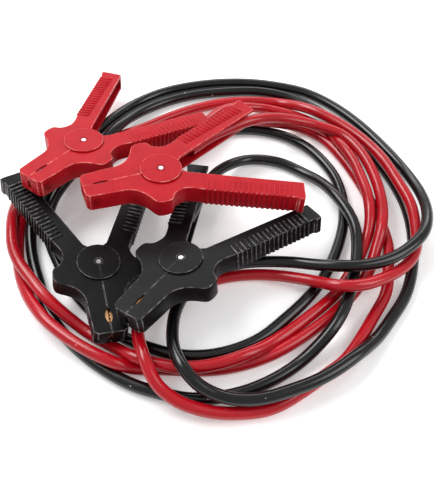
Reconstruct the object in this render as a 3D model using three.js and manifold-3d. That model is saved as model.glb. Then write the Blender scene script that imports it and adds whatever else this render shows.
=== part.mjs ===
// Car jumper cable set: a red lead and a black lead lying together, two spring clamps on each lead.
// Millimetres, +Z up. The floor is at z = 0 and the origin is under the middle of the four clamps.
import * as THREE from 'three';
import * as BufferGeometryUtils from 'three/addons/utils/BufferGeometryUtils.js';
import Module from 'manifold-3d';

const wasm = await Module();
wasm.setup();

// Driving dimensions of one clamp, in the clamp's own frame.
// X runs from the nose (-) to the handles (+), Y is across, Z = 0 is the upper cheek face, the pivot is at X = Y = 0.
const CLAMP_THICKNESS = 14;
const CHEEK_WALL = 2.2;
const OUTER_WALL = 2.5;
const NOSE_LENGTH = 56.9;
const NOSE_HALF_WIDTH = 11.4;
const NOSE_ROOT_HALF_WIDTH = 12.8;
const NOSE_FRONT_WALL = 1.5;
const PARTING_GAP = 0.5;
const LOBE_X = -6.6;
const LOBE_Y = 31.6;
const HANDLE_ROOT_Y = 23.4;
const HANDLE_ROOT_X = 10;
const HANDLE_TIP_OUTER_X = 85.9;
const HANDLE_TIP_OUTER_Y = 58.8;
const HANDLE_TIP_INNER_X = 92.8;
const HANDLE_TIP_INNER_Y = 44.6;
const HANDLE_INNER_ROOT_X = 17.3;
const HANDLE_INNER_ROOT_Y = 8.4;
const TIP_LIP_HEIGHT = 1.6;
const TIP_LIP_LENGTH = 4;

// Hinge: each half carries one ear, which turns in a round recess of the other half.
const EAR_RADIUS = 15;
const EAR_PROUD = 1.5;
const EAR_THICKNESS = 5;
const RIVET_RADIUS = 1.2;
const RIVET_HEAD_RADIUS = 1.8;
const RIVET_HEAD_HEIGHT = 0.4;
const RIVET_SEAT_DEPTH = 0.9;
const RUNNING_GAP = 0.3;

// Torsion spring between the two ears.
const SPRING_WIRE_RADIUS = 0.8;
const SPRING_COIL_RADIUS = 7.5;
const SPRING_TURNS = 2.5;
const SPRING_PITCH = 1.9;

// Toothed jaw plates in the nose.
const JAW_BACK_LENGTH = 35;
const JAW_DEPTH = 3.4;
const JAW_TOOTH_PITCH = 2.9;
const JAW_TOOTH_DEPTH = 1;
const EYE_LENGTH = 12;
const EYE_DEPTH = 2.3;
const EYE_FROM_TIP = 12.9;

// Cables.
const CABLE_RADIUS = 4.1;
const CABLE_SIDES = 8;
const CABLE_STEP = 19;

const ROUND_SEGMENTS = 40;
const SMALL_SEGMENTS = 16;

// Where each clamp lies: pivot of the upper face, and yaw, nose-up pitch and roll in degrees.
// The cable enters the handle on the side cableSide, and the half on that side stays fixed.
const CLAMPS = [
  { name: 'red1', color: 0xc43240, at: [-103.3, 71.5, 41.6], yaw: 54.0, pitch: 9.4, roll: -2.4, cableSide: -1 },
  { name: 'red2', color: 0xc43240, at: [-40.5, 29.1, 55.6], yaw: 21.4, pitch: 5.2, roll: -3.6, cableSide: 1 },
  { name: 'black1', color: 0x33302f, at: [-83.1, -31.2, 25.4], yaw: 105.1, pitch: 0.1, roll: 11.0, cableSide: -1 },
  { name: 'black2', color: 0x33302f, at: [-24.8, -36.2, 37.4], yaw: 54.3, pitch: 5.6, roll: -8.4, cableSide: 1 },
];

// Cable routes, chosen point by point: the middle of the cable, laid over itself and under the clamps.
// The first and last points are given in the frame of the clamp whose handle holds that end.
const RED_START = [[38, -25], [60, -36], [88, -50]];
const RED_END = [[94, 40.7], [79.2, 39.2], [66.3, 35.3], [50, 30], [30, 20]];
const RED_ROUTE = [
  [4, 134, 17], [20, 143.5, 12], [38, 149, 6], [56.5, 145.5, 4.5], [76, 136, 4.5],
  [90, 126, 4.5], [99, 108.5, 9.5], [105, 92, 13.5], [111, 77, 13.5], [114.5, 58.5, 13.5],
  [117, 45, 13.5], [117, 28.5, 13.5], [116.5, 18, 11], [114.5, 8, 6.5], [109.5, -3.5, 4.5],
  [104, -14.5, 4.5], [96.5, -27, 4.5], [84.5, -44, 4.5], [57.5, -68, 5], [39, -82, 6],
  [20.5, -95.5, 13.5], [-0.5, -103, 13.5], [-17.5, -105.5, 13.5], [-34.5, -104, 13.5], [-44.5, -101, 13],
  [-54.5, -97.5, 13], [-71, -86.5, 6], [-88.5, -75.5, 4.5], [-98, -68.5, 6], [-107, -62.5, 10],
  [-121.5, -50, 14], [-134, -35, 14], [-143.5, -23, 14], [-151, -8, 13], [-154.5, 7.5, 13],
  [-157.5, 24.5, 10], [-157, 44, 5], [-146.5, 67, 4.5], [-130, 89, 4.5], [-108, 102, 4.5],
  [-85.5, 114.5, 4.5], [-65.5, 124, 4.5], [-46, 136.5, 4.5], [-23, 148.5, 4.5], [6, 157.5, 4.5],
  [31, 159.5, 4.5], [56, 156.5, 5], [79, 140.5, 13], [101.5, 123.5, 14], [121.5, 101.5, 14],
  [135, 78.5, 14], [143, 54, 14], [149, 31.5, 14], [149, 11, 14], [147, -5, 14],
  [143, -17, 14], [132.5, -29, 15], [116.5, -40.5, 20], [100.5, -48.5, 23.5], [84.5, -49.5, 23.5],
  [70.5, -41, 15.5], [52, -32, 8], [32.5, -27.5, 4.5], [10.5, -29, 4.5], [-11, -35, 4.5],
  [-32.5, -43.5, 5], [-47, -54.5, 8], [-53.5, -71.5, 14], [-51.5, -88.5, 19.5], [-46, -104.5, 23],
  [-39.5, -117.5, 18], [-31.5, -124, 14], [-22, -129.5, 12.5], [-3, -133, 7.5], [15, -132.5, 4.5],
  [34.5, -129.5, 4.5], [52.5, -119.5, 4.5], [73, -105, 4.5], [84, -97, 4.5], [97, -80.5, 4.5],
  [109, -62, 4.5], [120.5, -43.5, 4.5], [125.5, -21, 4.5], [128.5, -1.5, 4.5], [127, 15, 4.5],
  [125, 27, 4.5], [121.5, 40, 4.5], [117.5, 56, 4.5], [112.5, 70, 4.5], [105.5, 87, 4.5],
  [91, 111.5, 4.5], [76, 123, 4.5], [60, 124, 9.5], [43, 122.5, 14], [23.5, 125.5, 13],
  [2, 131, 6.5], [-19.5, 126.5, 4.5], [-45, 114, 4.5], [-74.5, 102, 4.5], [-100, 87, 4.5],
  [-121, 71, 4.5], [-138, 53, 4.5], [-148.5, 35, 4.5], [-151.5, 15, 4.5], [-150, -1, 4.5],
  [-147, -16.5, 4.5], [-142.5, -30.5, 4.5], [-133.5, -48.5, 9], [-118.5, -68.5, 14], [-102, -82.5, 14],
  [-86.5, -92.5, 14], [-68.5, -101, 13], [-55, -102, 4.5], [-38, -102, 4.5], [-18, -103, 4.5],
  [-0.5, -102.5, 4.5], [19, -98.5, 4.5], [38, -91, 4.5], [56, -80, 4.5], [75.5, -65.5, 4.5],
  [84.5, -57, 4.5], [93.5, -48, 4.5], [100, -40, 4.5], [107, -31.5, 4.5], [113, -20, 4.5],
  [118, -6.5, 7], [122, 4.5, 13.5], [126, 21.5, 14], [127, 38.5, 14], [124.5, 61.5, 15],
  [117, 86.5, 15.5], [104, 106.5, 15.5], [81.5, 116, 17], [61.5, 114.5, 24], [44.5, 108, 32],
];
const BLACK_START = [[38, 24], [52, 28.5], [61, 31.5], [76.6, 36.3], [85, 39.2]];
const BLACK_END = [[92, -50.5], [84, -47], [60, -36], [38, -25]];
const BLACK_ROUTE = [
  [1, 66.5, 13.5], [12, 78.5, 9], [23, 86, 5.5], [34, 87.5, 4.5], [52, 84, 4.5],
  [69.5, 73, 4.5], [82.5, 58.5, 9], [91, 42, 14], [98.5, 27.5, 14], [103.5, 11.5, 13],
  [103, -5.5, 13], [100, -23, 14], [95, -40, 14], [89, -57.5, 14], [80, -73.5, 14],
  [68.5, -86, 9], [55, -97.5, 4.5], [38, -109, 4.5], [19.5, -117.5, 4.5], [0.5, -122, 4.5],
  [-19, -123, 4.5], [-37, -119, 4.5], [-55, -113.5, 4.5], [-72.5, -104, 4.5], [-91, -90.5, 4.5],
  [-107, -74.5, 4.5], [-119.5, -56.5, 4.5], [-128, -36.5, 4.5], [-136, -16.5, 4.5], [-141.5, 4, 4.5],
  [-142, 20.5, 8], [-136, 37, 14], [-127.5, 58, 13.5], [-116.5, 83.5, 13.5], [-104.5, 106.5, 13.5],
  [-91.5, 129.5, 11], [-74, 154, 6], [-52.5, 170, 4.5], [-25.5, 179.5, 4.5], [2.5, 184, 4.5],
  [30, 184, 4.5], [55.5, 179.5, 4.5], [80, 171, 4.5], [102, 154.5, 4.5], [122, 131.5, 4.5],
  [139, 104.5, 4.5], [152.5, 75.5, 6], [159, 43.5, 13], [157.5, 17.5, 20], [150.5, -3, 23.5],
  [139, -15.5, 23.5], [123, -26.5, 23.5], [105.5, -32, 23.5], [89, -33, 23.5], [71.5, -29, 19],
  [52.5, -23, 14], [32, -22, 13], [12.5, -24.5, 13.5], [-7, -32.5, 14], [-20.5, -46, 14],
  [-28.5, -63.5, 15], [-30, -80.5, 17], [-28, -96.5, 20.5], [-21.5, -110, 23], [-13, -119.5, 19.5],
  [1, -125, 14.5], [14.5, -127.5, 14], [29.5, -126.5, 14], [45.5, -121.5, 14], [62.5, -115, 14],
  [77.5, -106.5, 13.5], [91, -96.5, 13], [108, -80.5, 6], [122.5, -62, 4.5], [133.5, -46.5, 4.5],
  [141.5, -27, 4.5], [146.5, -6.5, 4.5], [149, 13.5, 4.5], [148.5, 35, 4.5], [144, 57, 4.5],
  [136, 79, 4.5], [123.5, 103, 4.5], [107, 127.5, 4.5], [86, 149.5, 4.5], [62, 165.5, 5],
  [35, 172, 5.5], [6, 171, 5.5], [-23, 167, 5], [-50, 156.5, 5], [-71, 139.5, 7.5],
  [-85.5, 117.5, 13], [-98.5, 92, 15], [-111, 68, 16], [-121.5, 49.5, 15.5], [-129.5, 36, 9.5],
  [-131.5, 23.5, 5.5], [-127, 3, 4.5], [-116.5, -19, 4.5], [-105.5, -38.5, 4.5], [-89.5, -57, 4.5],
  [-77, -69.5, 4.5], [-62, -80, 4.5], [-45.5, -87, 4.5], [-25, -92.5, 4.5], [-6.5, -92.5, 4.5],
  [12.5, -88, 4.5], [30.5, -79, 4.5], [45.5, -66, 4.5], [62, -50, 4.5], [74, -35, 4.5],
  [84.5, -16.5, 4.5], [92.5, 3, 4.5], [98, 23, 4.5], [99.5, 44.5, 4.5], [96, 67, 4.5],
  [87, 86.5, 4.5], [74.5, 103, 4.5], [57.5, 115, 4.5], [38.5, 121.5, 4.5], [19.5, 123, 4.5],
  [-2, 117.5, 4.5], [-23.5, 101, 4.5], [-40.5, 92, 5], [-53, 81, 7.5],
];

// Solids

function toManifold(geometry) {
  let merged = geometry.index ? geometry.toNonIndexed() : geometry.clone();
  merged.deleteAttribute('normal');
  merged.deleteAttribute('uv');
  merged = BufferGeometryUtils.mergeVertices(merged, 1e-4);
  return new wasm.Manifold(new wasm.Mesh({
    numProp: 3,
    vertProperties: new Float32Array(merged.attributes.position.array),
    triVerts: new Uint32Array(merged.index.array),
  }));
}

function toGeometry(solid) {
  const mesh = solid.getMesh();
  const geometry = new THREE.BufferGeometry();
  geometry.setAttribute('position', new THREE.BufferAttribute(new Float32Array(mesh.vertProperties), 3));
  geometry.setIndex(new THREE.BufferAttribute(new Uint32Array(mesh.triVerts), 1));
  geometry.computeVertexNormals();
  return geometry;
}

function prism(points, zLow, zHigh) {
  const shape = new THREE.Shape(points.map(([x, y]) => new THREE.Vector2(x, y)));
  const geometry = new THREE.ExtrudeGeometry(shape, { depth: zHigh - zLow, bevelEnabled: false });
  geometry.translate(0, 0, zLow);
  return toManifold(geometry);
}

function disc(x, y, radius, zLow, zHigh, segments) {
  const geometry = new THREE.CylinderGeometry(radius, radius, zHigh - zLow, segments);
  geometry.rotateX(Math.PI / 2);
  geometry.translate(x, y, (zLow + zHigh) / 2);
  return toManifold(geometry);
}

// Outer edge of a handle: its height at x, and the inner face of the outer wall.
const OUTER_SLOPE = (HANDLE_TIP_OUTER_Y - HANDLE_ROOT_Y) / (HANDLE_TIP_OUTER_X - HANDLE_ROOT_X);

function outerEdgeY(x) {
  return HANDLE_ROOT_Y + OUTER_SLOPE * (x - HANDLE_ROOT_X);
}

function outerWallY(x) {
  return outerEdgeY(x) - OUTER_WALL * Math.hypot(1, OUTER_SLOPE);
}

// Outline of the +Y half seen from above: nose, finger lobe, handle with its tip lip, inner edge.
function halfOutline() {
  const parting = PARTING_GAP / 2;
  const tip = -NOSE_LENGTH;
  const lipX = HANDLE_TIP_OUTER_X - TIP_LIP_LENGTH;
  return [
    [tip, parting],
    [tip, NOSE_HALF_WIDTH - 3],
    [tip + 2.2, NOSE_HALF_WIDTH],
    [tip + 12, (NOSE_HALF_WIDTH + NOSE_ROOT_HALF_WIDTH) / 2],
    [LOBE_X - 25, NOSE_ROOT_HALF_WIDTH],
    [LOBE_X - 18, NOSE_ROOT_HALF_WIDTH + 2.2],
    [LOBE_X - 11.5, LOBE_Y - 11.4],
    [LOBE_X - 7, LOBE_Y - 4.4],
    [LOBE_X - 4, LOBE_Y - 1],
    [LOBE_X, LOBE_Y],
    [LOBE_X + 3.2, LOBE_Y - 1.2],
    [LOBE_X + 6.5, LOBE_Y - 4.6],
    [HANDLE_ROOT_X - 5, HANDLE_ROOT_Y + 0.7],
    [HANDLE_ROOT_X, HANDLE_ROOT_Y],
    [HANDLE_ROOT_X + 6, outerEdgeY(HANDLE_ROOT_X + 6) - 1.2],
    [HANDLE_ROOT_X + 14, outerEdgeY(HANDLE_ROOT_X + 14)],
    [lipX, outerEdgeY(lipX)],
    [lipX + 0.8, outerEdgeY(lipX + 0.8) + TIP_LIP_HEIGHT],
    [HANDLE_TIP_OUTER_X, HANDLE_TIP_OUTER_Y + TIP_LIP_HEIGHT],
    [HANDLE_TIP_OUTER_X + 2, HANDLE_TIP_OUTER_Y - 1.5],
    [HANDLE_TIP_INNER_X, HANDLE_TIP_INNER_Y],
    [HANDLE_INNER_ROOT_X, HANDLE_INNER_ROOT_Y],
    [EAR_RADIUS * 0.75, parting],
  ];
}

// Layers of the hinge: the ear of this half lies on top, the other ear below, the spring between them.
const EAR_LOW = EAR_PROUD - EAR_THICKNESS;
const CHANNEL_HIGH = -CHEEK_WALL;
const CHANNEL_LOW = CHEEK_WALL - CLAMP_THICKNESS;
const BORE_RADIUS = RIVET_RADIUS + RUNNING_GAP;
const BELOW = -CLAMP_THICKNESS - EAR_PROUD - 5;
const ABOVE = EAR_PROUD + 5;

// Jaw pocket in the nose.
const JAW_FRONT = -NOSE_LENGTH + NOSE_FRONT_WALL;
const POCKET_BACK = JAW_FRONT + JAW_BACK_LENGTH + RUNNING_GAP;
const POCKET_DEPTH = PARTING_GAP / 2 + JAW_DEPTH + RUNNING_GAP;

function makeHalf() {
  let half = prism(halfOutline(), -CLAMP_THICKNESS, 0);
  const recess = EAR_RADIUS + RUNNING_GAP;
  half = half.subtract(disc(0, 0, recess, BELOW, EAR_LOW, ROUND_SEGMENTS));
  half = half.add(disc(0, 0, EAR_RADIUS, EAR_LOW, EAR_PROUD, ROUND_SEGMENTS));
  // The channel of the handle is open along its inner side and at the tip.
  const farX = HANDLE_TIP_INNER_X + 10;
  half = half.subtract(prism([
    [HANDLE_ROOT_X - 4, -HANDLE_INNER_ROOT_Y],
    [farX, -HANDLE_INNER_ROOT_Y],
    [farX, outerWallY(farX)],
    [HANDLE_ROOT_X + 10, outerWallY(HANDLE_ROOT_X + 10)],
    [HANDLE_ROOT_X - 4, outerWallY(HANDLE_ROOT_X - 4) - 0.8],
  ], CHANNEL_LOW, CHANNEL_HIGH).subtract(disc(0, 0, recess, EAR_LOW, ABOVE, ROUND_SEGMENTS)));
  half = half.subtract(prism([
    [JAW_FRONT - RUNNING_GAP, -1],
    [POCKET_BACK, -1],
    [POCKET_BACK, POCKET_DEPTH],
    [JAW_FRONT - RUNNING_GAP, POCKET_DEPTH],
  ], CHANNEL_LOW, CHANNEL_HIGH));
  // The eye: a half lens cut in the parting edge, seen from above.
  const eyeRadius = (EYE_LENGTH * EYE_LENGTH / 4 + EYE_DEPTH * EYE_DEPTH) / (2 * EYE_DEPTH);
  const eyeX = -NOSE_LENGTH + EYE_FROM_TIP;
  half = half.subtract(disc(eyeX, PARTING_GAP / 2 + EYE_DEPTH - eyeRadius, eyeRadius, BELOW, ABOVE, ROUND_SEGMENTS));
  half = half.subtract(disc(0, 0, BORE_RADIUS, BELOW, ABOVE, SMALL_SEGMENTS));
  half = half.subtract(disc(0, 0, RIVET_HEAD_RADIUS + RUNNING_GAP, EAR_PROUD - RIVET_SEAT_DEPTH, ABOVE, SMALL_SEGMENTS));
  return toGeometry(half);
}

function makeJaw() {
  const low = PARTING_GAP / 2 + 0.1;
  const back = JAW_FRONT + JAW_BACK_LENGTH;
  const count = Math.floor(JAW_BACK_LENGTH / JAW_TOOTH_PITCH);
  const outline = [];
  for (let i = 0; i < count; i += 1) {
    const x = JAW_FRONT + i * JAW_TOOTH_PITCH;
    outline.push([x, low]);
    outline.push([x + JAW_TOOTH_PITCH * 0.5, low + JAW_TOOTH_DEPTH]);
  }
  outline.push([back, low]);
  outline.push([back, low + JAW_DEPTH - 0.1]);
  outline.push([JAW_FRONT, low + JAW_DEPTH - 0.1]);
  return toGeometry(prism(outline, CHANNEL_LOW + RUNNING_GAP, CHANNEL_HIGH - RUNNING_GAP));
}

// Its two heads lie sunk in a round seat in each ear.
function makeRivet() {
  const top = EAR_PROUD - RIVET_SEAT_DEPTH + RUNNING_GAP;
  const bottom = -CLAMP_THICKNESS - top;
  const profile = [
    [0, bottom - RIVET_HEAD_HEIGHT],
    [RIVET_HEAD_RADIUS, bottom - RIVET_HEAD_HEIGHT],
    [RIVET_HEAD_RADIUS, bottom],
    [RIVET_RADIUS, bottom],
    [RIVET_RADIUS, top],
    [RIVET_HEAD_RADIUS, top],
    [RIVET_HEAD_RADIUS, top + RIVET_HEAD_HEIGHT],
    [0, top + RIVET_HEAD_HEIGHT],
  ].map(([r, z]) => new THREE.Vector2(r, z));
  const geometry = new THREE.LatheGeometry(profile, SMALL_SEGMENTS);
  geometry.rotateX(Math.PI / 2);
  return toGeometry(toManifold(geometry));
}

function ring(radius, sides) {
  const points = [];
  for (let i = 0; i < sides; i += 1) {
    const angle = 2 * Math.PI * (i + 0.5) / sides;
    points.push(new THREE.Vector2(radius * Math.cos(angle), radius * Math.sin(angle)));
  }
  return new THREE.Shape(points);
}

// The long leg presses on the outer wall of the fixed handle, the short leg ends inside the ears.
function makeSpring(side) {
  const points = [];
  const middle = -CLAMP_THICKNESS / 2;
  const steps = Math.round(SPRING_TURNS * 12);
  const rise = SPRING_TURNS * SPRING_PITCH;
  const legX = HANDLE_ROOT_X + 16;
  const legY = outerWallY(legX) - SPRING_WIRE_RADIUS * 1.15 - RUNNING_GAP;
  points.push(new THREE.Vector3(legX, side * legY, middle - rise / 2));
  points.push(new THREE.Vector3(legX * 0.65, side * legY * 0.7, middle - rise / 2));
  for (let i = 0; i <= steps; i += 1) {
    const turn = i / steps;
    const angle = side * (Math.PI * 0.72 + 2 * Math.PI * SPRING_TURNS * turn);
    points.push(new THREE.Vector3(
      SPRING_COIL_RADIUS * Math.cos(angle),
      SPRING_COIL_RADIUS * Math.sin(angle),
      middle - rise / 2 + rise * turn,
    ));
  }
  const last = points[points.length - 1];
  points.push(new THREE.Vector3(last.x + 5.5, last.y - side * 1, last.z));
  const path = new THREE.CatmullRomCurve3(points, false, 'centripetal');
  const geometry = new THREE.ExtrudeGeometry(ring(SPRING_WIRE_RADIUS, 6), {
    steps: points.length * 2,
    bevelEnabled: false,
    extrudePath: path,
  });
  return toGeometry(toManifold(geometry));
}

function makeCable(points) {
  const path = new THREE.CatmullRomCurve3(points, false, 'centripetal');
  path.arcLengthDivisions = points.length * 12;
  const geometry = new THREE.ExtrudeGeometry(ring(CABLE_RADIUS, CABLE_SIDES), {
    steps: Math.round(path.getLength() / CABLE_STEP),
    bevelEnabled: false,
    extrudePath: path,
  });
  return toGeometry(toManifold(geometry));
}

// Assembly

const set = new THREE.Group();

function addMesh(parent, name, geometry, color, roughness, metalness) {
  const mesh = new THREE.Mesh(geometry, new THREE.MeshStandardMaterial({ color, roughness, metalness }));
  mesh.name = name;
  parent.add(mesh);
  return mesh;
}

function turnedOver(geometry) {
  const other = geometry.clone();
  other.rotateX(Math.PI);
  other.translate(0, 0, -CLAMP_THICKNESS);
  return other;
}

const halfGeometry = makeHalf();
const jawGeometry = makeJaw();
const rivetGeometry = makeRivet();
const clampGroups = {};

for (const clamp of CLAMPS) {
  const group = new THREE.Group();
  group.position.set(...clamp.at);
  group.rotation.order = 'ZYX';
  group.rotation.set(
    THREE.MathUtils.degToRad(clamp.roll),
    THREE.MathUtils.degToRad(clamp.pitch),
    THREE.MathUtils.degToRad(clamp.yaw),
  );
  addMesh(group, `${clamp.name}_half_a`, halfGeometry, clamp.color, 0.55, 0);
  addMesh(group, `${clamp.name}_half_b`, turnedOver(halfGeometry), clamp.color, 0.55, 0);
  addMesh(group, `${clamp.name}_jaw_a`, jawGeometry, 0xb8793f, 0.35, 1);
  addMesh(group, `${clamp.name}_jaw_b`, turnedOver(jawGeometry), 0xb8793f, 0.35, 1);
  addMesh(group, `${clamp.name}_rivet`, rivetGeometry, 0xb4b4b4, 0.3, 1);
  addMesh(group, `${clamp.name}_spring`, makeSpring(clamp.cableSide), 0x8c8c8c, 0.35, 1);
  set.add(group);
  group.updateMatrixWorld(true);
  clampGroups[clamp.name] = group;
}

// The lowest clamp corner touches the floor, and the cables lie on the floor too.
const box = new THREE.Box3().setFromObject(set, true);
const floorZ = box.min.z;

function route(startClamp, start, middle, endClamp, end) {
  const inHandle = (name, list) => list.map(([x, y]) =>
    new THREE.Vector3(x, y, -CLAMP_THICKNESS / 2).applyMatrix4(clampGroups[name].matrixWorld));
  const lying = middle.map(([x, y, z]) => new THREE.Vector3(x, y, Math.max(z, floorZ + CABLE_RADIUS + 0.35)));
  return [...inHandle(startClamp, start), ...lying, ...inHandle(endClamp, end)];
}

addMesh(set, 'red_cable', makeCable(route('red1', RED_START, RED_ROUTE, 'red2', RED_END)), 0xc01626, 0.3, 0);
addMesh(set, 'black_cable', makeCable(route('black2', BLACK_START, BLACK_ROUTE, 'black1', BLACK_END)), 0x1a1a1e, 0.35, 0);

set.position.set(-(box.min.x + box.max.x) / 2, -(box.min.y + box.max.y) / 2, -floorZ);
set.updateMatrixWorld(true);

export default set;
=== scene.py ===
import bpy
import bmesh
import math
from mathutils import Vector, Matrix


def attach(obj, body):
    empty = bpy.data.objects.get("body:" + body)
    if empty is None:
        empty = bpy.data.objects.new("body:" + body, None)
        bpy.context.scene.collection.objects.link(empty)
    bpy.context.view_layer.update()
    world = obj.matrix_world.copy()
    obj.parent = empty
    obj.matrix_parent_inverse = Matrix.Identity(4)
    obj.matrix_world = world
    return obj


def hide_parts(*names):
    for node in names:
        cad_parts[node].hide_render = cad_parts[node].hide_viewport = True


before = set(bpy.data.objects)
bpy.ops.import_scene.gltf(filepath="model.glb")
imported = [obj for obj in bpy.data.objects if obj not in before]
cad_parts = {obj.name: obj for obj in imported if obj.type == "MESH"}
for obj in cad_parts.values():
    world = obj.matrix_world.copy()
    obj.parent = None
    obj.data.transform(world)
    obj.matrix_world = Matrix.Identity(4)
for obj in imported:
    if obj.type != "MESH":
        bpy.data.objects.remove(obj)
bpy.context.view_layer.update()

MM = 0.001

# The places of the clamps and the cords are measured from this point on the floor, in mm.
SHIFT = Vector((45.157, -42.984, 0.018))

# Clamps: pivot of the upper face in mm, yaw, nose-up pitch and roll in degrees.
CLAMPS = {
    "red1": ((-103.3, 71.5, 41.6), 54.0, 9.4, -2.4),
    "red2": ((-40.5, 29.1, 55.6), 21.4, 5.2, -3.6),
    "black1": ((-83.1, -31.2, 25.4), 105.1, 0.1, 11.0),
    "black2": ((-24.8, -36.2, 37.4), 54.3, 5.6, -8.4),
}
MOVING_HALF = {"red1": "a", "red2": "b", "black1": "a", "black2": "b"}
BODY = {
    "red1": "red_clamp_1_handle",
    "red2": "red_clamp_2_handle",
    "black1": "black_clamp_1_handle",
    "black2": "black_clamp_2_handle",
}
THICKNESS = 14.0
CORD_DIAMETER = 8.6

RED_START = [(38, -25), (60, -36), (88, -50)]
RED_END = [(94, 40.7), (79.2, 39.2), (66.3, 35.3), (50, 30), (30, 20)]
RED_ROUTE = [
    (4, 134, 17), (20, 143.5, 12), (38, 149, 6), (56.5, 145.5, 4.5), (76, 136, 4.5),
    (90, 126, 4.5), (99, 108.5, 9.5), (105, 92, 13.5), (111, 77, 13.5), (114.5, 58.5, 13.5),
    (117, 45, 13.5), (117, 28.5, 13.5), (116.5, 18, 11), (114.5, 8, 6.5), (109.5, -3.5, 4.5),
    (104, -14.5, 4.5), (96.5, -27, 4.5), (84.5, -44, 4.5), (57.5, -68, 5), (39, -82, 6),
    (20.5, -95.5, 13.5), (-0.5, -103, 13.5), (-17.5, -105.5, 13.5),
    (-34.5, -104, 13.5), (-44.5, -101, 13),
    (-54.5, -97.5, 13), (-71, -86.5, 6), (-88.5, -75.5, 4.5), (-98, -68.5, 6), (-107, -62.5, 10),
    (-121.5, -50, 14), (-134, -35, 14), (-143.5, -23, 14), (-151, -8, 13), (-154.5, 7.5, 13),
    (-157.5, 24.5, 10), (-157, 44, 5), (-146.5, 67, 4.5), (-130, 89, 4.5), (-108, 102, 4.5),
    (-85.5, 114.5, 4.5), (-65.5, 124, 4.5), (-46, 136.5, 4.5), (-23, 148.5, 4.5), (6, 157.5, 4.5),
    (31, 159.5, 4.5), (56, 156.5, 5), (79, 140.5, 13), (101.5, 123.5, 14), (121.5, 101.5, 14),
    (135, 78.5, 14), (143, 54, 14), (149, 31.5, 14), (149, 11, 14), (147, -5, 14),
    (143, -17, 14), (132.5, -29, 15), (116.5, -40.5, 20), (100.5, -48.5, 23.5), (84.5, -49.5, 23.5),
    (70.5, -41, 15.5), (52, -32, 8), (32.5, -27.5, 4.5), (10.5, -29, 4.5), (-11, -35, 4.5),
    (-32.5, -43.5, 5), (-47, -54.5, 8), (-53.5, -71.5, 14), (-51.5, -88.5, 19.5), (-46, -104.5, 23),
    (-39.5, -117.5, 18), (-31.5, -124, 14), (-22, -129.5, 12.5), (-3, -133, 7.5), (15, -132.5, 4.5),
    (34.5, -129.5, 4.5), (52.5, -119.5, 4.5), (73, -105, 4.5), (84, -97, 4.5), (97, -80.5, 4.5),
    (109, -62, 4.5), (120.5, -43.5, 4.5), (125.5, -21, 4.5), (128.5, -1.5, 4.5), (127, 15, 4.5),
    (125, 27, 4.5), (121.5, 40, 4.5), (117.5, 56, 4.5), (112.5, 70, 4.5), (105.5, 87, 4.5),
    (91, 111.5, 4.5), (76, 123, 4.5), (60, 124, 9.5), (43, 122.5, 14), (23.5, 125.5, 13),
    (2, 131, 6.5), (-19.5, 126.5, 4.5), (-45, 114, 4.5), (-74.5, 102, 4.5), (-100, 87, 4.5),
    (-121, 71, 4.5), (-138, 53, 4.5), (-148.5, 35, 4.5), (-151.5, 15, 4.5), (-150, -1, 4.5),
    (-147, -16.5, 4.5), (-142.5, -30.5, 4.5), (-133.5, -48.5, 9),
    (-118.5, -68.5, 14), (-102, -82.5, 14),
    (-86.5, -92.5, 14), (-68.5, -101, 13), (-55, -102, 4.5), (-38, -102, 4.5), (-18, -103, 4.5),
    (-0.5, -102.5, 4.5), (19, -98.5, 4.5), (38, -91, 4.5), (56, -80, 4.5), (75.5, -65.5, 4.5),
    (84.5, -57, 4.5), (93.5, -48, 4.5), (100, -40, 4.5), (107, -31.5, 4.5), (113, -20, 4.5),
    (118, -6.5, 7), (122, 4.5, 13.5), (126, 21.5, 14), (127, 38.5, 14), (124.5, 61.5, 15),
    (117, 86.5, 15.5), (104, 106.5, 15.5), (81.5, 116, 17), (61.5, 114.5, 24), (44.5, 108, 32),
]
BLACK_START = [(38, 24), (52, 28.5), (61, 31.5), (76.6, 36.3), (85, 39.2)]
BLACK_END = [(92, -50.5), (84, -47), (60, -36), (38, -25)]
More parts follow.
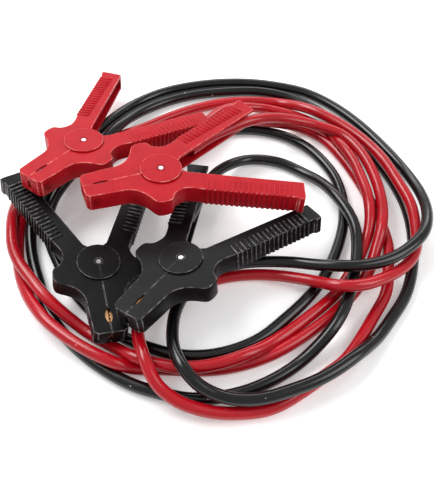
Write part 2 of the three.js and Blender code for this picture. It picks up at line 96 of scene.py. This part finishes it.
BLACK_ROUTE = [
    (1, 66.5, 13.5), (12, 78.5, 9), (23, 86, 5.5), (34, 87.5, 4.5), (52, 84, 4.5),
    (69.5, 73, 4.5), (82.5, 58.5, 9), (91, 42, 14), (98.5, 27.5, 14), (103.5, 11.5, 13),
    (103, -5.5, 13), (100, -23, 14), (95, -40, 14), (89, -57.5, 14), (80, -73.5, 14),
    (68.5, -86, 9), (55, -97.5, 4.5), (38, -109, 4.5), (19.5, -117.5, 4.5), (0.5, -122, 4.5),
    (-19, -123, 4.5), (-37, -119, 4.5), (-55, -113.5, 4.5), (-72.5, -104, 4.5), (-91, -90.5, 4.5),
    (-107, -74.5, 4.5), (-119.5, -56.5, 4.5), (-128, -36.5, 4.5),
    (-136, -16.5, 4.5), (-141.5, 4, 4.5),
    (-142, 20.5, 8), (-136, 37, 14), (-127.5, 58, 13.5),
    (-116.5, 83.5, 13.5), (-104.5, 106.5, 13.5),
    (-91.5, 129.5, 11), (-74, 154, 6), (-52.5, 170, 4.5), (-25.5, 179.5, 4.5), (2.5, 184, 4.5),
    (30, 184, 4.5), (55.5, 179.5, 4.5), (80, 171, 4.5), (102, 154.5, 4.5), (122, 131.5, 4.5),
    (139, 104.5, 4.5), (152.5, 75.5, 6), (159, 43.5, 13), (157.5, 17.5, 20), (150.5, -3, 23.5),
    (139, -15.5, 23.5), (123, -26.5, 23.5), (105.5, -32, 23.5), (89, -33, 23.5), (71.5, -29, 19),
    (52.5, -23, 14), (32, -22, 13), (12.5, -24.5, 13.5), (-7, -32.5, 14), (-20.5, -46, 14),
    (-28.5, -63.5, 15), (-30, -80.5, 17), (-28, -96.5, 20.5),
    (-21.5, -110, 23), (-13, -119.5, 19.5),
    (1, -125, 14.5), (14.5, -127.5, 14), (29.5, -126.5, 14), (45.5, -121.5, 14), (62.5, -115, 14),
    (77.5, -106.5, 13.5), (91, -96.5, 13), (108, -80.5, 6), (122.5, -62, 4.5), (133.5, -46.5, 4.5),
    (141.5, -27, 4.5), (146.5, -6.5, 4.5), (149, 13.5, 4.5), (148.5, 35, 4.5), (144, 57, 4.5),
    (136, 79, 4.5), (123.5, 103, 4.5), (107, 127.5, 4.5), (86, 149.5, 4.5), (62, 165.5, 5),
    (35, 172, 5.5), (6, 171, 5.5), (-23, 167, 5), (-50, 156.5, 5), (-71, 139.5, 7.5),
    (-85.5, 117.5, 13), (-98.5, 92, 15), (-111, 68, 16), (-121.5, 49.5, 15.5), (-129.5, 36, 9.5),
    (-131.5, 23.5, 5.5), (-127, 3, 4.5), (-116.5, -19, 4.5),
    (-105.5, -38.5, 4.5), (-89.5, -57, 4.5),
    (-77, -69.5, 4.5), (-62, -80, 4.5), (-45.5, -87, 4.5), (-25, -92.5, 4.5), (-6.5, -92.5, 4.5),
    (12.5, -88, 4.5), (30.5, -79, 4.5), (45.5, -66, 4.5), (62, -50, 4.5), (74, -35, 4.5),
    (84.5, -16.5, 4.5), (92.5, 3, 4.5), (98, 23, 4.5), (99.5, 44.5, 4.5), (96, 67, 4.5),
    (87, 86.5, 4.5), (74.5, 103, 4.5), (57.5, 115, 4.5), (38.5, 121.5, 4.5), (19.5, 123, 4.5),
    (-2, 117.5, 4.5), (-23.5, 101, 4.5), (-40.5, 92, 5), (-53, 81, 7.5),
]


def clamp_matrix(name):
    """From a clamp's own frame, in mm, to the row frame, in metres."""
    at, yaw, pitch, roll = CLAMPS[name]
    turn = (
        Matrix.Rotation(math.radians(yaw), 4, "Z")
        @ Matrix.Rotation(math.radians(pitch), 4, "Y")
        @ Matrix.Rotation(math.radians(roll), 4, "X")
    )
    return Matrix.Diagonal((MM, MM, MM, 1)) @ Matrix.Translation(Vector(at) + SHIFT) @ turn


# Camera at the photograph's angle
PITCH_DOWN = 54.12
CAMERA_HEIGHT = 389.2
camera_data = bpy.data.cameras.new("camera")
camera_data.lens = 45.96
camera_data.sensor_width = 36
camera_data.clip_start = 0.02
camera = bpy.data.objects.new("camera", camera_data)
camera.location = (
    Vector((0, -CAMERA_HEIGHT / math.tan(math.radians(PITCH_DOWN)), CAMERA_HEIGHT)) + SHIFT
) * MM
camera.rotation_euler = (math.radians(90 - PITCH_DOWN), 0, 0)
bpy.context.scene.collection.objects.link(camera)
bpy.context.scene.camera = camera


# Cords
CORD_STEP = 3 * MM
CORD_SMOOTHING_PASSES = 6
CORD_FLOOR_GAP = 0.3


def spline_points(points, step):
    """A centripetal curve through the chosen points, sampled about every step."""
    line = [2 * points[0] - points[1]] + points + [2 * points[-1] - points[-2]]
    out = []
    for i in range(1, len(line) - 2):
        a, b, c, d = line[i - 1 : i + 3]
        t1 = math.sqrt((b - a).length)
        t2 = t1 + math.sqrt((c - b).length)
        t3 = t2 + math.sqrt((d - c).length)
        count = max(2, round((c - b).length / step))
        for k in range(count):
            t = t1 + (t2 - t1) * k / count
            a1 = a.lerp(b, t / t1)
            a2 = b.lerp(c, (t - t1) / (t2 - t1))
            a3 = c.lerp(d, (t - t2) / (t3 - t2))
            b1 = a1.lerp(a2, t / t2)
            b2 = a2.lerp(a3, (t - t1) / (t3 - t1))
            out.append(b1.lerp(b2, (t - t1) / (t2 - t1)))
    out.append(line[-2])
    return out


def in_handle(name, places):
    """Places along the middle of a clamp's thickness, in the row frame."""
    m = clamp_matrix(name)
    return [m @ Vector((x, y, -THICKNESS / 2)) for x, y in places]


def cord_route(start_clamp, start, middle, end_clamp, end):
    lowest = CORD_DIAMETER / 2 + CORD_FLOOR_GAP
    lying = [(Vector((x, y, max(z, lowest))) + SHIFT) * MM for x, y, z in middle]
    return in_handle(start_clamp, start) + lying + in_handle(end_clamp, end)


def make_cord(name, node, points):
    line = spline_points(points, CORD_STEP)
    # A few passes take the small steps between the listed points out of the curve.
    for _ in range(CORD_SMOOTHING_PASSES):
        line = (
            line[:2]
            + [p * 0.5 + (line[i + 1] + line[i + 3]) * 0.25 for i, p in enumerate(line[2:-2])]
            + line[-2:]
        )
    curve = bpy.data.curves.new(name, "CURVE")
    curve.dimensions = "3D"
    # The radius is held by the points, so the curve's box is as small as the cord.
    curve.bevel_depth = 1
    curve.bevel_resolution = 6
    curve.use_fill_caps = True
    spline = curve.splines.new("POLY")
    spline.points.add(len(line) - 1)
    for point, place in zip(spline.points, line):
        point.co = (*place, 1)
        point.radius = CORD_DIAMETER / 2 * MM
    spline.use_smooth = True
    piece = bpy.data.objects.new(name, curve)
    bpy.context.scene.collection.objects.link(piece)
    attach(piece, "leads")
    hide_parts(node)
    return piece


red_cord = make_cord(
    "red_cord", "red_cable", cord_route("red1", RED_START, RED_ROUTE, "red2", RED_END)
)
black_cord = make_cord(
    "black_cord", "black_cable", cord_route("black2", BLACK_START, BLACK_ROUTE, "black1", BLACK_END)
)


# Materials
def new_material(name):
    material = bpy.data.materials.new(name)
    material.use_nodes = True
    nodes = material.node_tree.nodes
    nodes.clear()
    shader = nodes.new("ShaderNodeBsdfPrincipled")
    output = nodes.new("ShaderNodeOutputMaterial")
    material.node_tree.links.new(shader.outputs["BSDF"], output.inputs["Surface"])
    return material, shader


def noise(material, scale, detail, roughness=0.5):
    """Noise over the piece; scale is in waves per metre."""
    nodes = material.node_tree.nodes
    place = nodes.new("ShaderNodeTexCoord")
    node = nodes.new("ShaderNodeTexNoise")
    node.inputs["Scale"].default_value = scale
    node.inputs["Detail"].default_value = detail
    node.inputs["Roughness"].default_value = roughness
    material.node_tree.links.new(place.outputs["Object"], node.inputs["Vector"])
    return node.outputs["Fac"]


def ramp(material, factor, low_stop, low_color, high_stop, high_color):
    node = material.node_tree.nodes.new("ShaderNodeValToRGB")
    stops = ((low_stop, low_color), (high_stop, high_color))
    for element, (position, color) in zip(node.color_ramp.elements, stops):
        element.position = position
        element.color = (*color, 1)
    material.node_tree.links.new(factor, node.inputs["Fac"])
    return node.outputs["Color"]


def tone(material, scale, detail, dark, base, roughness=0.5):
    """A colour that drifts between dark and base."""
    return ramp(material, noise(material, scale, detail, roughness), 0.3, dark, 0.7, base)


def spots(material, scale, detail, roughness, low_stop, high_stop):
    """White where a noise is high, black elsewhere."""
    source = noise(material, scale, detail, roughness)
    return ramp(material, source, low_stop, (0, 0, 0), high_stop, (1, 1, 1))


def over(material, factor, under, color):
    """A plain colour laid over another where the factor is white."""
    node = material.node_tree.nodes.new("ShaderNodeMix")
    node.data_type = "RGBA"
    links = material.node_tree.links
    links.new(factor, node.inputs[0])
    links.new(under, node.inputs[6])
    node.inputs[7].default_value = (*color, 1)
    return node.outputs[2]


def surface(material, shader, color, scale, detail, smooth, rough):
    """Base colour, and a roughness that drifts between two values."""
    links = material.node_tree.links
    links.new(color, shader.inputs["Base Color"])
    roughness = tone(material, scale, detail, (smooth,) * 3, (rough,) * 3)
    links.new(roughness, shader.inputs["Roughness"])


def bump(material, shader, layers):
    """layers: (noise scale, strength, distance in metres)."""
    nodes = material.node_tree.nodes
    links = material.node_tree.links
    normal = None
    for scale, strength, distance in layers:
        node = nodes.new("ShaderNodeBump")
        node.inputs["Strength"].default_value = strength
        node.inputs["Distance"].default_value = distance
        links.new(noise(material, scale, 2), node.inputs["Height"])
        if normal:
            links.new(normal, node.inputs["Normal"])
        normal = node.outputs["Normal"]
    links.new(normal, shader.inputs["Normal"])


def moulded_plastic(name, dark, base, rough, rubbed_and_highlight=None):
    material, shader = new_material(name)
    color = tone(material, 70, 4, dark, base, 0.6)
    if rubbed_and_highlight:
        # Rubbed spots on the rounded edges, lighter where a fine noise lets it through; their
        # colour also adds to the painted highlight of these edges.
        color = over(material, spots(material, 240, 4, 0.7, 0.42, 0.62), color, rubbed_and_highlight)
    surface(material, shader, color, 160, 4, rough - 0.05, rough + 0.05)
    shader.inputs["Specular IOR Level"].default_value = 0.15
    bump(material, shader, [(2600, 0.1, 0.0001), (300, 0.06, 0.0003)])
    return material


def cable_plastic(name, dark, base, dust, rough):
    material, shader = new_material(name)
    # A few small pale specks of dust.
    specks = spots(material, 420, 1, 0.3, 0.8, 0.83)
    color = over(material, specks, tone(material, 30, 2, dark, base), dust)
    surface(material, shader, color, 90, 3, rough - 0.03, rough + 0.05)
    shader.inputs["Specular IOR Level"].default_value = 0.5
    bump(material, shader, [(150, 0.08, 0.0003), (1500, 0.04, 0.0001)])
    return material


def metal(name, dark, base, rough):
    material, shader = new_material(name)
    surface(material, shader, tone(material, 300, 3, dark, base), 600, 3, rough - 0.1, rough + 0.1)
    shader.inputs["Metallic"].default_value = 1
    bump(material, shader, [(1200, 0.15, 0.0002)])
    return material


RED_PLASTIC = moulded_plastic("clamp_red", (0.37, 0.003, 0.009), (0.45, 0.005, 0.013), 0.4)
# The edge materials are lighter than the plain ones: a painted highlight along the rounded rims,
# with rubbed spots.
RED_EDGE_PAINTED_HIGHLIGHT = moulded_plastic(
    "clamp_red_edge_painted_highlight", (0.5, 0.02, 0.028), (0.58, 0.035, 0.04), 0.32, (0.8, 0.24, 0.22)
)
# A darker red for the raised marks: painted shade standing for the dark outline of a groove.
RED_MARK_PAINTED_SHADE = moulded_plastic("clamp_red_mark_painted_shade", (0.16, 0.001, 0.003), (0.22, 0.002, 0.005), 0.45)
BLACK_PLASTIC = moulded_plastic(
    "clamp_black", (0.003, 0.003, 0.0035), (0.0065, 0.006, 0.007), 0.4
)
# Lighter black for the rounded rims, marks and rib crests: a painted highlight, with rubbed spots.
BLACK_EDGE_PAINTED_HIGHLIGHT = moulded_plastic(
    "clamp_black_edge_painted_highlight", (0.012, 0.012, 0.013), (0.03, 0.029, 0.031), 0.34, (0.2, 0.19, 0.19)
)
RED_CABLE = cable_plastic(
    "cable_red", (0.36, 0.001, 0.006), (0.47, 0.003, 0.012), (0.7, 0.12, 0.12), 0.2
)
BLACK_CABLE = cable_plastic(
    "cable_black", (0.0015, 0.0015, 0.002), (0.004, 0.004, 0.005), (0.5, 0.5, 0.5), 0.2
)
COPPER = metal("jaw_copper", (0.5, 0.26, 0.12), (0.8, 0.47, 0.22), 0.35)
STEEL = metal("steel", (0.45, 0.45, 0.46), (0.7, 0.7, 0.72), 0.3)


def dress(piece, materials):
    for material in materials:
        piece.data.materials.append(material)


dress(red_cord, [RED_CABLE])
dress(black_cord, [BLACK_CABLE])


# Clamps, modelled in each clamp's own frame in mm
NOSE = 56.9
PARTING = 0.06
EAR_RADIUS = 15.0
EAR_LOW = -3.5
EAR_HIGH = 1.5
CHEEK = 2.2
CHANNEL_LOW = CHEEK - THICKNESS
CHANNEL_HIGH = -CHEEK
OUTER_WALL = 2.5
GAP = 0.3
HANDLE_ROOT = (10.0, 23.4)
HANDLE_TIP = (85.9, 58.8)
HANDLE_TIP_INNER = (92.8, 44.6)
HANDLE_INNER_ROOT = (17.3, 8.4)
OUTER_SLOPE = (HANDLE_TIP[1] - HANDLE_ROOT[1]) / (HANDLE_TIP[0] - HANDLE_ROOT[0])
TIP_WALL = 2.2
TIP_WALL_INSET = 0.4
LOBE_STEP = 1.6
EDGE_ROUNDING = 0.5
EAR_ROUNDING = 0.4
DISC_SIDES = 72

# Edges that turn by more than the first angle are rounded; past the second they shade sharp.
ROUNDED_ANGLE = math.radians(36)
SHARP_ANGLE = math.radians(35)
# Faces whose normal is this upright are level and shade flat.
LEVEL_NORMAL = 0.999

# Well past the solid on either side, for cuts that go right through.
BELOW = -30
ABOVE = 10

# Openings of the nose: the jaw pocket, the mouth in its front and the slot of the contact strip.
POCKET = [(-55.7, -1), (-20.1, -1), (-20.1, 3.95), (-55.7, 3.95)]
MOUTH = [(-60, -1), (-55, -1), (-55, 1.7), (-60, 1.7)]
MOUTH_LOW = -10.2
MOUTH_HIGH = -3.8
STRIP_SLOT = [(-51.2, -1), (-36.8, -1), (-36.8, 3.4), (-51.2, 3.4)]
STRIP_SLOT_LOW = -3
STRIP_SLOT_HIGH = -1.2
STRIP_CORNERS = (-51, 0.12, -2.3), (-37, 3.2, -1.3)

# The eye is a lens cut into each parting edge.
EYE_X = -44
EYE_LENGTH = 12
EYE_EDGE = 0.25
EYE_DEPTH = {"red1": 0.9, "red2": 0.9, "black1": 2.2, "black2": 0.9}
EYE_SIDES = 160

BORE_RADIUS = 1.5
BORE_SIDES = 24
RIVET_SEAT_RADIUS = 2.1
RIVET_SEAT_FLOOR = 0.6
RIVET_SEAT_SIDES = 32

# Raised marks: mould line over the ear, ring round the rivet, and the plus in its ring.
MOULD_LINE = (-14.4, -3.1)
RIVET_RING = (2.75, 3.2)
PLUS_PLACE = (-49.6, 11.93, -7)
PLUS_RING = (2.6, 3.2)
PLUS_ARM = 1.5
PLUS_HALF_STROKE = 0.3
RING_SIDES = 32

RIB_COUNT = 17
RIB_FIRST = 24.0
RIB_LAST = 77.0
RIB_PROUD = 0.75
RIB_HALF_WIDTH = 1.25
RIB_SIDES = 10
RIB_REACH = 9.4
RIB_REACH_GROWS = 1.6
RIB_CORNER = 0.7
RIB_END_PROUD = 0.15
RIB_UNDERSIDE_PROUD = 0.6

# Places of the materials on a half: plain, lighter edge (painted highlight on the rounded rims,
# with rubbed spots), mark (on red a darker painted shade, on black the painted highlight), rib
# crest (on black the painted highlight).
HIGHLIGHT_EDGE_INDEX = 1
MARK_INDEX = 2
CREST_INDEX = 3

# The moving handle of this clamp turns over a strand of its own cable, so it is thinner below.
THINNER_CLAMP = "black1"
THINNER_BY = 0.5


def outer_y(x):
    """Outer edge of a handle."""
    return HANDLE_ROOT[1] + OUTER_SLOPE * (x - HANDLE_ROOT[0])


def wall_y(x):
    """Inner face of the outer wall."""
    return outer_y(x) - OUTER_WALL * math.hypot(1, OUTER_SLOPE)


def half_outline():
    """Outline of the +Y half seen from above."""
    lobe = [
        (-34, 12.7), (-28.5, 13.1), (-23.5, 15.2), (-19, 19.2), (-16, 24), (-14, 28.3),
        (-12, 30.9), (-9, 31.9), (-4, 31.9), (-1.2, 30.8), (0.2, 28.4), (2, 26),
        (5.5, 24.4), (10.5, 23.6), (16, 25.4), (24, outer_y(24)),
    ]
    smooth_lobe = spline_points([Vector((x, y, 0)) for x, y in lobe], LOBE_STEP)
    return (
        [(-NOSE, PARTING), (-NOSE, 8.6), (-NOSE + 2.2, 11.4), (-45, 12.1)]
        + [(p.x, p.y) for p in smooth_lobe]
        + [
            (81.9, outer_y(81.9)),
            (82.7, outer_y(82.7) + 1.4),
            (HANDLE_TIP[0] + 0.2, HANDLE_TIP[1] + 1.5),
            (HANDLE_TIP[0] + 2, HANDLE_TIP[1] - 1.5),
            HANDLE_TIP_INNER,
            HANDLE_INNER_ROOT,
            (11.2, PARTING),
        ]
    )


def finished(work, name):
    """The worked geometry as a mesh."""
    mesh = bpy.data.meshes.new(name)
    work.to_mesh(mesh)
    work.free()
    return mesh


def circle(radius, count):
    """Points of a circle, from +X towards +Y."""
    angles = [2 * math.pi * i / count for i in range(count)]
    return [(radius * math.cos(angle), radius * math.sin(angle)) for angle in angles]


def prism(name, points, z_low, z_high):
    work = bmesh.new()
    base = [work.verts.new((x, y, z_low)) for x, y in points]
    face = work.faces.new(base)
    top = bmesh.ops.extrude_face_region(work, geom=[face])
    for item in top["geom"]:
        if isinstance(item, bmesh.types.BMVert):
            item.co.z = z_high
    bmesh.ops.recalc_face_normals(work, faces=work.faces)
    piece = bpy.data.objects.new(name, finished(work, name))
    bpy.context.scene.collection.objects.link(piece)
    return piece


def disc(name, x, y, radius, z_low, z_high, count=DISC_SIDES):
    return prism(name, [(x + a, y + b) for a, b in circle(radius, count)], z_low, z_high)


def settle(piece):
    """The modifiers' result becomes the mesh itself."""
    graph = bpy.context.evaluated_depsgraph_get()
    graph.update()
    mesh = bpy.data.meshes.new_from_object(piece.evaluated_get(graph))
    piece.modifiers.clear()
    piece.data = mesh


def combine(piece, operation, tool):
    """The tool is used up."""
    modifier = piece.modifiers.new("cut", "BOOLEAN")
    modifier.operation = operation
    modifier.solver = "EXACT"
    modifier.object = tool
    settle(piece)
    bpy.data.objects.remove(tool)


def soften(piece, width):
    """Round the sharp edges; the rounded faces take the lighter edge material, a painted highlight
    with rubbed spots.
    """
    for _ in range(2):
        piece.data.materials.append(None)
    modifier = piece.modifiers.new("round", "BEVEL")
    modifier.width = width
    modifier.segments = 3
    modifier.limit_method = "ANGLE"
    modifier.angle_limit = ROUNDED_ANGLE
    modifier.material = HIGHLIGHT_EDGE_INDEX
    settle(piece)
    return piece


def shade(mesh):
    """Smooth walls and roundings, flat cheeks, sharp corners."""
    work = bmesh.new()
    work.from_mesh(mesh)
    for face in work.faces:
        face.smooth = abs(face.normal.z) < LEVEL_NORMAL
    for edge in work.edges:
        edge.smooth = len(edge.link_faces) == 2 and edge.calc_face_angle(math.pi) < SHARP_ANGLE
    work.to_mesh(mesh)
    work.free()


def handle_channel():
    """The hollow of the handle, open along its inner side and at the tip."""
    far = HANDLE_TIP_INNER[0] + 10
    inner = -HANDLE_INNER_ROOT[1]
    outline = [(6, inner), (far, inner), (far, wall_y(far)), (20, wall_y(20)), (6, wall_y(6) - 0.8)]
    channel = prism("channel", outline, CHANNEL_LOW, CHANNEL_HIGH)
    combine(channel, "DIFFERENCE", disc("keep", 0, 0, EAR_RADIUS + GAP, EAR_LOW, ABOVE))
    return channel


def half_solid(eye_depth, underside):
    half = soften(prism("half", half_outline(), underside, 0), EDGE_ROUNDING)
    combine(half, "DIFFERENCE", disc("recess", 0, 0, EAR_RADIUS + GAP, BELOW, EAR_LOW))
    ear = soften(disc("ear", 0, 0, EAR_RADIUS, EAR_LOW, EAR_HIGH), EAR_ROUNDING)
    combine(half, "UNION", ear)
    eye_radius = (EYE_LENGTH**2 / 4 + eye_depth**2) / (2 * eye_depth)
    eye_y = EYE_EDGE + eye_depth - eye_radius
    for tool in (
        handle_channel(),
        prism("pocket", POCKET, CHANNEL_LOW, CHANNEL_HIGH),
        prism("mouth", MOUTH, MOUTH_LOW, MOUTH_HIGH),
        prism("strip_slot", STRIP_SLOT, STRIP_SLOT_LOW, STRIP_SLOT_HIGH),
        disc("eye", EYE_X, eye_y, eye_radius, BELOW, ABOVE, EYE_SIDES),
        disc("bore", 0, 0, BORE_RADIUS, BELOW, ABOVE, BORE_SIDES),
        disc("seat", 0, 0, RIVET_SEAT_RADIUS, RIVET_SEAT_FLOOR, ABOVE, RIVET_SEAT_SIDES),
    ):
        combine(half, "DIFFERENCE", tool)
    shade(half.data)
    return half


def bridge(work, a, b):
    """Faces between two loops of the same count."""
    count = len(a)
    return [
        work.faces.new((a[k], a[(k + 1) % count], b[(k + 1) % count], b[k])) for k in range(count)
    ]


def sweep(work, path, normals, along):
    """A rib of oval section: path on the surface, normals away from it, along the handle."""
    section = circle(1, RIB_SIDES)
    rings = []
    for place, normal in zip(path, normals):
        rings.append([
            work.verts.new(place + along * (RIB_HALF_WIDTH * c) + normal * (RIB_PROUD * s))
            for c, s in section
        ])
    for a, b in zip(rings, rings[1:]):
        for k, face in enumerate(bridge(work, a, b)):
            # The crest faces take the crest material: on black the lighter edge material, a painted
            # highlight; on red the plain red.
            face.material_index = CREST_INDEX if k == 2 else 0
    work.faces.new(list(reversed(rings[0])))
    work.faces.new(rings[-1])


def rib_path(x, reach, underside, out):
    """From the upper cheek over the edge and down the wall to the lower cheek."""
    up = Vector((0, 0, 1))
    edge = Vector((x, outer_y(x), 0))
    low_edge = edge + up * underside
    path = []
    normals = []
    stations = (0, 0.04, 0.5, 1)
    turns = [math.pi / 2 * k / 3 for k in (1, 2, 3)]
    for t in stations:
        path.append(edge - out * (reach * (1 - t) + RIB_CORNER * t))
        normals.append(up * (RIB_END_PROUD if t == 0 else 1))
    for turn in turns:
        normal = up * math.cos(turn) + out * math.sin(turn)
        path.append(edge - out * RIB_CORNER - up * RIB_CORNER + normal * RIB_CORNER)
        normals.append(normal)
    for turn in reversed(turns):
        normal = -up * math.cos(turn) + out * math.sin(turn)
        low_corner = edge - out * RIB_CORNER - up * (-underside - RIB_CORNER)
        path.append(low_corner + normal * RIB_CORNER)
        normals.append(normal)
    for t in reversed(stations):
        path.append(low_edge - out * (reach * (1 - t) + RIB_CORNER * t))
        normals.append(-up * (RIB_END_PROUD if t == 0 else RIB_UNDERSIDE_PROUD))
    return path, normals


def ribs(underside):
    """Ribs wrapped round the outer side of the +Y handle."""
    work = bmesh.new()
    along = Vector((1, OUTER_SLOPE, 0)).normalized()
    out = Vector((-along.y, along.x, 0))
    for i in range(RIB_COUNT):
        share = i / (RIB_COUNT - 1)
        x = RIB_FIRST + (RIB_LAST - RIB_FIRST) * share
        path, normals = rib_path(x, RIB_REACH + RIB_REACH_GROWS * share, underside, out)
        sweep(work, path, normals, along)
    bmesh.ops.recalc_face_normals(work, faces=work.faces)
    for face in work.faces:
        face.smooth = True
    return finished(work, "ribs")


def bar(work, low_corner, high_corner):
    made = bmesh.ops.create_cube(work, size=1)
    middle = (Vector(low_corner) + Vector(high_corner)) / 2
    size = Vector(high_corner) - Vector(low_corner)
    for vert in made["verts"]:
        vert.co = vert.co * size + middle


def ring_solid(work, place, inner, outer, z_low, z_high):
    loops = []
    for radius, z in ((inner, z_low), (outer, z_low), (outer, z_high), (inner, z_high)):
        section = circle(radius, RING_SIDES)
        loops.append([work.verts.new(place @ Vector((x, y, z))) for x, y in section])
    for a, b in zip(loops, loops[1:] + loops[:1]):
        bridge(work, a, b)


def marks(red):
    """Mould line over the ear, ring round the rivet, and on red the plus mark beside the nose."""
    work = bmesh.new()
    bar(work, (MOULD_LINE[0], -0.1, EAR_HIGH - 0.1), (MOULD_LINE[1], 0.1, EAR_HIGH + 0.05))
    ring_solid(work, Matrix.Identity(4), *RIVET_RING, EAR_HIGH - 0.2, EAR_HIGH + 0.12)
    if red:
        # On the outer wall of the nose, facing away from the parting plane.
        place = (
            Matrix.Translation(PLUS_PLACE)
            @ Matrix.Rotation(math.radians(-90), 4, "X")
            @ Matrix.Rotation(math.radians(3.3), 4, "Y")
        )
        ring_solid(work, place, *PLUS_RING, -0.4, 0.22)
        before = set(work.verts)
        bar(work, (-PLUS_ARM, -PLUS_HALF_STROKE, -0.4), (PLUS_ARM, PLUS_HALF_STROKE, 0.2))
        bar(work, (-PLUS_HALF_STROKE, -PLUS_ARM, -0.4), (PLUS_HALF_STROKE, PLUS_ARM, 0.2))
        for vert in set(work.verts) - before:
            vert.co = place @ vert.co
    bmesh.ops.recalc_face_normals(work, faces=work.faces)
    for face in work.faces:
        # On red the marks take the darker red, a painted shade; on black they take the lighter edge
        # material, a painted highlight.
        face.material_index = MARK_INDEX
    return finished(work, "marks")


def tip_wall():
    """Closes the end of a handle that holds no cable."""
    along = Vector((1, OUTER_SLOPE, 0)).normalized()
    outer = Vector((*HANDLE_TIP, 0)) - along * TIP_WALL_INSET
    inner = Vector((*HANDLE_TIP_INNER, 0)) - along * TIP_WALL_INSET
    corners = [outer, inner, inner - along * TIP_WALL, outer - along * TIP_WALL]
    outline = [(p.x, p.y) for p in corners]
    wall = prism("wall", outline, 1 - THICKNESS, -TIP_WALL_INSET)
    mesh = wall.data
    bpy.data.objects.remove(wall)
    return mesh


def half_mesh(clamp, moving):
    thinner = moving and clamp == THINNER_CLAMP
    underside = -THICKNESS + (THINNER_BY if thinner else 0)
    half = half_solid(EYE_DEPTH[clamp], underside)
    meshes = [half.data, ribs(underside), marks(clamp.startswith("red"))]
    if moving:
        meshes.append(tip_wall())
    work = bmesh.new()
    for mesh in meshes:
        work.from_mesh(mesh)
    bpy.data.objects.remove(half)
    return finished(work, "half")


def contact_mesh():
    """A strip along the top of the jaw plate, seen through the eye of the nose."""
    work = bmesh.new()
    bar(work, *STRIP_CORNERS)
    bmesh.ops.bevel(work, geom=list(work.edges), offset=0.2, segments=2, affect="EDGES")
    bmesh.ops.recalc_face_normals(work, faces=work.faces)
    return finished(work, "contact")


TURN_OVER = Matrix.Translation((0, 0, -THICKNESS)) @ Matrix.Rotation(math.pi, 4, "X")

for clamp in CLAMPS:
    red = clamp.startswith("red")
    for side, flip in (("a", Matrix.Identity(4)), ("b", TURN_OVER)):
        place = clamp_matrix(clamp) @ flip
        moving = MOVING_HALF[clamp] == side
        mesh = half_mesh(clamp, moving)
        mesh.transform(place)
        piece = bpy.data.objects.new(f"{clamp}_shell_{side}", mesh)
        bpy.context.scene.collection.objects.link(piece)
        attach(piece, BODY[clamp] if moving else "leads")
        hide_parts(f"{clamp}_half_{side}")
        if red:
            dress(piece, [RED_PLASTIC, RED_EDGE_PAINTED_HIGHLIGHT, RED_MARK_PAINTED_SHADE, RED_PLASTIC])
        else:
            # On black the marks and rib crests take the lighter edge material, a painted highlight.
            dress(piece, [BLACK_PLASTIC, BLACK_EDGE_PAINTED_HIGHLIGHT, BLACK_EDGE_PAINTED_HIGHLIGHT, BLACK_EDGE_PAINTED_HIGHLIGHT])
        mesh = contact_mesh()
        mesh.transform(place)
        contact = bpy.data.objects.new(f"{clamp}_contact_{side}", mesh)
        bpy.context.scene.collection.objects.link(contact)
        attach(contact, BODY[clamp] if moving else "leads")
        dress(contact, [STEEL if red else COPPER])

for name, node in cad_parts.items():
    if "_jaw_" in name:
        node.data.materials.clear()
        node.data.materials.append(COPPER)
    elif name.endswith("rivet") or name.endswith("spring"):
        node.data.materials.clear()
        node.data.materials.append(STEEL)


# Floor and light
bpy.ops.mesh.primitive_plane_add(size=0.95, location=(0.03, 0, 0))
floor = bpy.context.object
floor.name = "floor"
floor_material, floor_shader = new_material("floor")
floor_shader.inputs["Base Color"].default_value = (0.93, 0.93, 0.93, 1)
floor_shader.inputs["Roughness"].default_value = 0.7
floor_shader.inputs["Emission Color"].default_value = (1, 1, 1, 1)
floor_shader.inputs["Emission Strength"].default_value = 0.22
floor.data.materials.append(floor_material)


def softbox(name, location, size_x, size_y, power):
    """A rectangular lamp aimed at the origin."""
    data = bpy.data.lights.new(name, "AREA")
    data.shape = "RECTANGLE"
    data.size = size_x
    data.size_y = size_y
    data.energy = power
    lamp = bpy.data.objects.new(name, data)
    lamp.location = location
    lamp.rotation_euler = (-Vector(location)).to_track_quat("-Z", "Y").to_euler()
    bpy.context.scene.collection.objects.link(lamp)


softbox("key", (-0.55, 0.35, 1.0), 0.9, 0.5, 11)
softbox("fill", (0.9, -0.3, 0.8), 0.5, 0.9, 5)
softbox("back", (0.1, 1.1, 0.7), 1.4, 0.3, 5)
world = bpy.data.worlds.new("world")
world.use_nodes = True
background = world.node_tree.nodes["Background"]
background.inputs["Color"].default_value = (1, 1, 1, 1)
background.inputs["Strength"].default_value = 0.55
bpy.context.scene.world = world
bpy.context.scene.view_settings.view_transform = "Standard"
